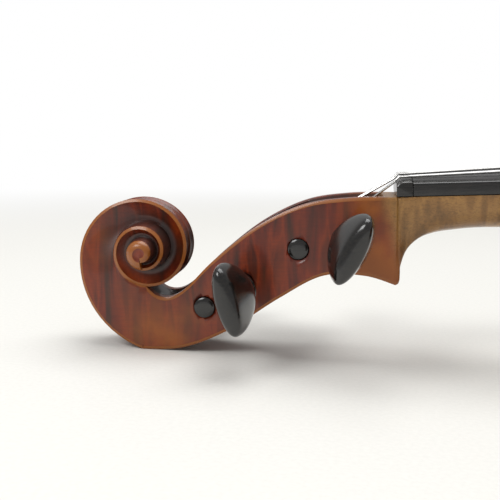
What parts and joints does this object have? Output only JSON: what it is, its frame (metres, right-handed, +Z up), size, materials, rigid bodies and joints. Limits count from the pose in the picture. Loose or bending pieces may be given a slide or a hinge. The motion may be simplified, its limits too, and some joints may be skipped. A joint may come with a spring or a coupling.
{
  "type": "violin",
  "caption": "Strung violin lying on its back: carved scroll and pegbox, turning pegs, arched body with sound holes, bridge, tailpiece and fine tuner.",
  "frame": {"origin": "centre of the bounding box in plan, on the plane that the scroll and the back rest on", "axes": "+X from the scroll to the tail, +Y to the treble side, +Z up out of the belly; the violin lies on its back, tilted by the scroll that it rests on"},
  "size_m": [0.6008, 0.208, 0.096],
  "materials": {
    "varnished_maple": "deep orange-brown translucent varnish over flamed maple",
    "varnished_spruce": "deep orange translucent varnish over straight-grained spruce",
    "bare_maple": "unvarnished maple, slightly oiled",
    "bare_spruce": "bare spruce and willow",
    "ebony": "polished black ebony",
    "wound_string": "silver winding, bright steel for the top string",
    "nickel": "polished nickel plate",
    "tailgut": "black nylon"
  },
  "bodies": {
    "instrument": {"back_bass": "varnished_maple", "back_treble": "varnished_maple", "bass_bar": "bare_spruce", "belly_bass": "varnished_spruce", "belly_treble": "varnished_spruce", "bridge": "bare_maple", "corner_block_lower_bass": "bare_spruce", "corner_block_lower_treble": "bare_spruce", "corner_block_upper_bass": "bare_spruce", "corner_block_upper_treble": "bare_spruce", "end_block": "bare_spruce", "end_button": "ebony", "fingerboard": "ebony", "lining_lower_back_bass": "bare_spruce", "lining_lower_back_treble": "bare_spruce", "lining_lower_belly_bass": "bare_spruce", "lining_lower_belly_treble": "bare_spruce", "lining_upper_back_bass": "bare_spruce", "lining_upper_back_treble": "bare_spruce", "lining_upper_belly_bass": "bare_spruce", "lining_upper_belly_treble": "bare_spruce", "lining_waist_back_bass": "bare_spruce", "lining_waist_back_treble": "bare_spruce", "lining_waist_belly_bass": "bare_spruce", "lining_waist_belly_treble": "bare_spruce", "neck_and_scroll": "varnished_maple", "nut": "ebony", "rib_lower_bass": "varnished_maple", "rib_lower_treble": "varnished_maple", "rib_upper_bass": "varnished_maple", "rib_upper_treble": "varnished_maple", "rib_waist_bass": "varnished_maple", "rib_waist_treble": "varnished_maple", "saddle": "ebony", "sound_post": "bare_spruce", "string_a": "wound_string", "string_d": "wound_string", "string_e": "wound_string", "string_g": "wound_string", "tailgut": "tailgut", "tailpiece": "ebony", "top_block": "bare_spruce", "tuner_frame": "nickel", "tuner_pin": "nickel"},
    "peg_g": {"peg_g": "ebony", "string_turns_g": "wound_string"},
    "peg_d": {"peg_d": "ebony", "string_turns_d": "wound_string"},
    "peg_a": {"peg_a": "ebony", "string_turns_a": "wound_string"},
    "peg_e": {"peg_e": "ebony", "string_turns_e": "wound_string"},
    "tuner_stem": {"tuner_stem": "nickel"},
    "tuner_knob": {"tuner_knob": "nickel"},
    "tuner_lever": {"tuner_lever": "nickel"}
  },
  "joints": [
    {"name": "peg_g_turn", "type": "hinge", "parent": "instrument", "child": "peg_g", "pos_m": [-0.20876, 0, 0.04181], "axis": [0, 1, 0], "continuous": true},
    {"name": "peg_d_turn", "type": "hinge", "parent": "instrument", "child": "peg_d", "pos_m": [-0.24319, 0, 0.02448], "axis": [0, 1, 0], "continuous": true},
    {"name": "peg_a_turn", "type": "hinge", "parent": "instrument", "child": "peg_a", "pos_m": [-0.25594, 0, 0.01591], "axis": [0, 1, 0], "continuous": true},
    {"name": "peg_e_turn", "type": "hinge", "parent": "instrument", "child": "peg_e", "pos_m": [-0.22519, 0, 0.0372], "axis": [0, 1, 0], "continuous": true},
    {"name": "tuner_travel", "type": "slide", "parent": "instrument", "child": "tuner_stem", "axis": [-0.2164, 0, -0.9763], "range_m": [0, 0.003]},
    {"name": "tuner_turn", "type": "hinge", "parent": "tuner_stem", "child": "tuner_knob", "pos_m": [0.2066, 0.0145, 0.08677], "axis": [-0.2164, 0, -0.9763], "range_deg": [0, 1805]},
    {"name": "tuner_rock", "type": "hinge", "parent": "instrument", "child": "tuner_lever", "pos_m": [0.18837, 0.0145, 0.08774], "axis": [0, 1, 0], "range_deg": [0, 10]}
  ],
  "couplings": [
    {"joint": "tuner_turn", "follows": "tuner_travel", "rad_per_m": 10472},
    {"joint": "tuner_rock", "follows": "tuner_travel", "rad_per_m": 55.556}
  ]
}
